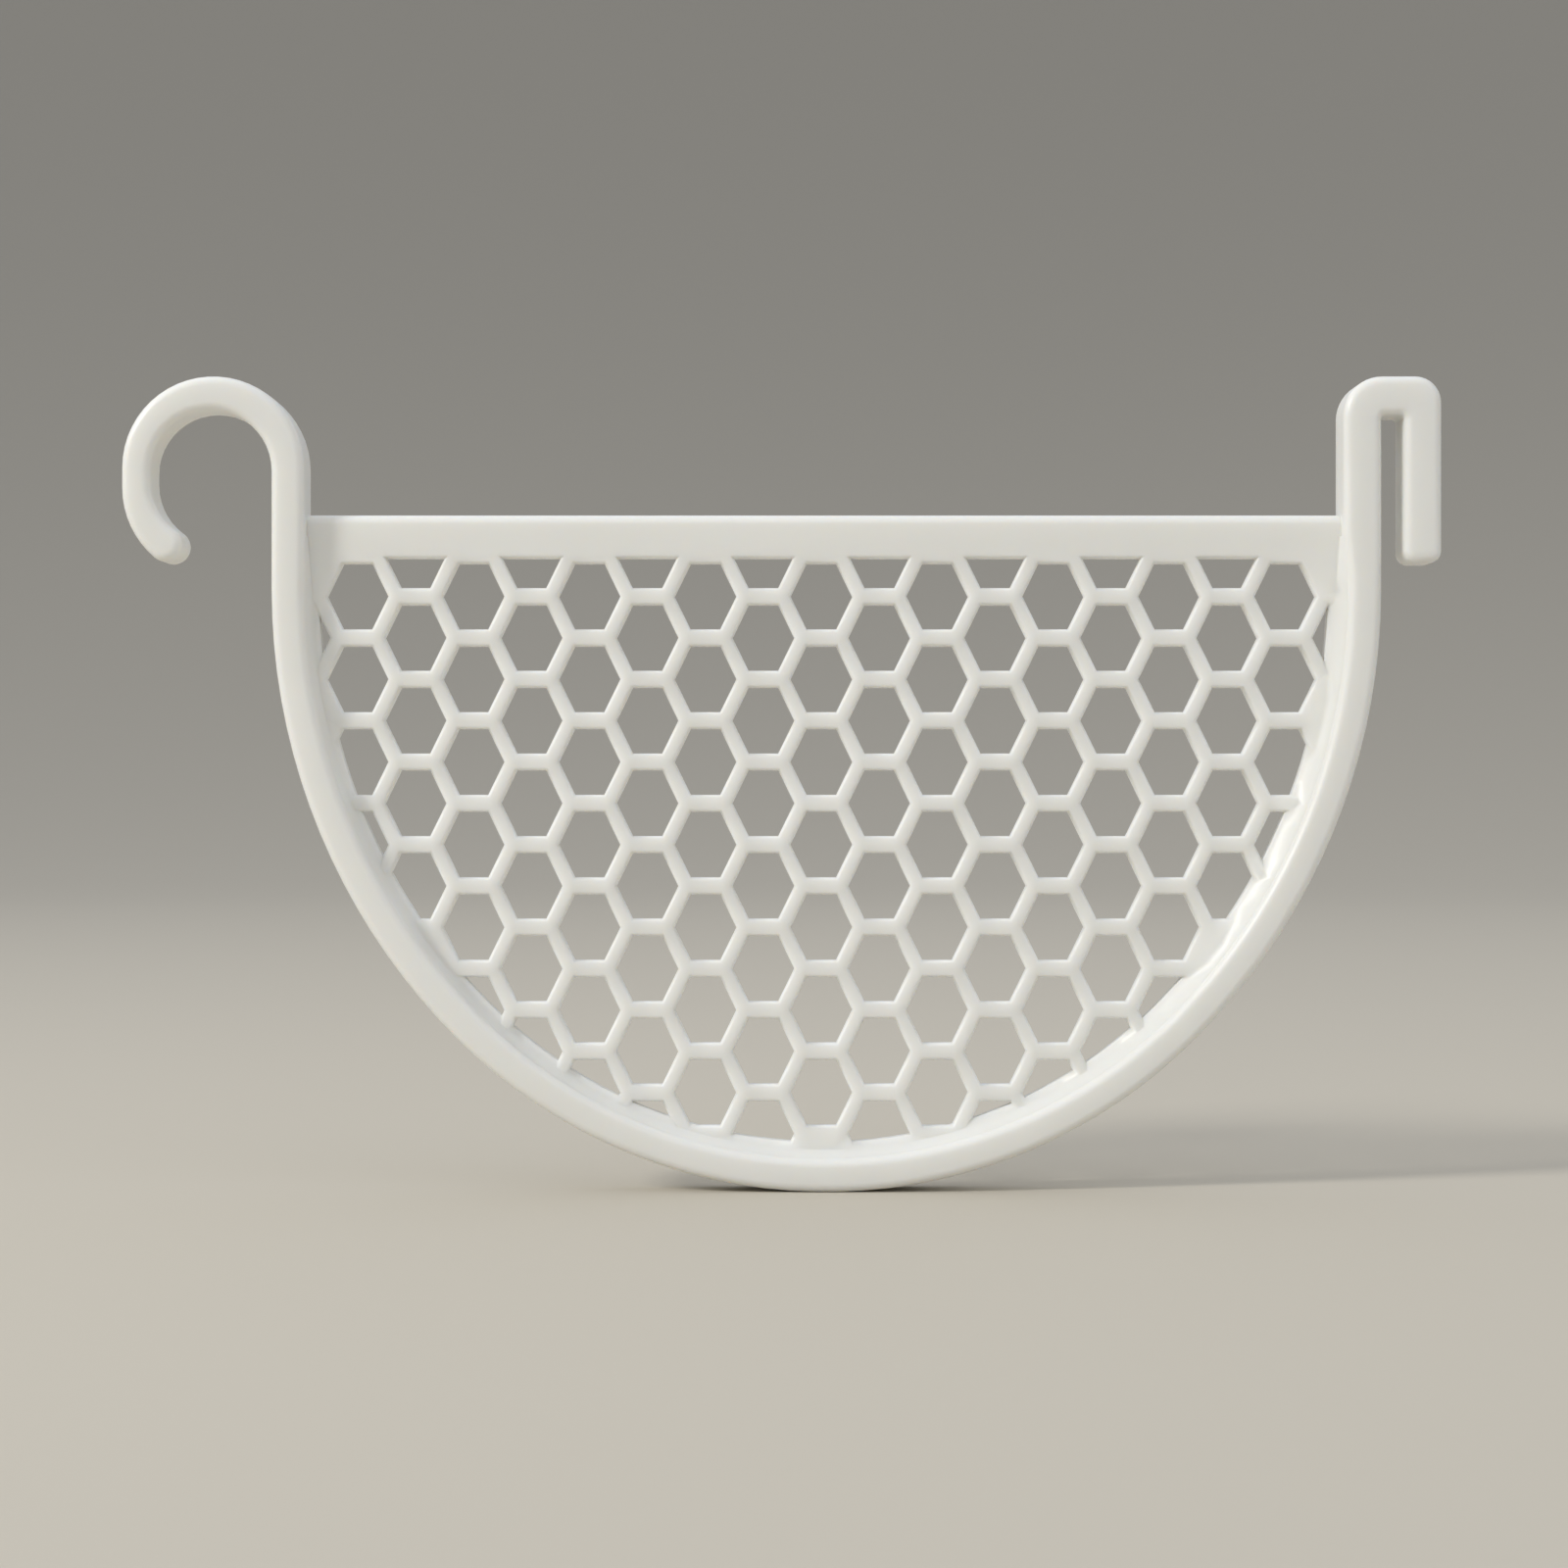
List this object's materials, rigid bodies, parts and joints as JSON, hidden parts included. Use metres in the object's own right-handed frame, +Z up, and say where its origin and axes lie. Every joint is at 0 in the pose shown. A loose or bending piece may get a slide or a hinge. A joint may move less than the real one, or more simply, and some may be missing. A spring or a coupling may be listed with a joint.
{
  "type": "gutter guard",
  "caption": "White plastic gutter guard that stands across a round-bottomed gutter: a bead hook, an edge clip and a honeycomb grille in a U-shaped rim",
  "frame": {"origin": "centre of the round bead that the hook clips over, halfway through the guard's depth", "axes": "+X across the gutter from the hook to the edge clip, +Y from the front face to the back, +Z up"},
  "size_m": [0.1784, 0.008, 0.1102],
  "materials": {
    "white_plastic": "semi-gloss white moulded plastic"
  },
  "bodies": {
    "root": {"gutter_guard": "white_plastic"}
  },
  "joints": []
}
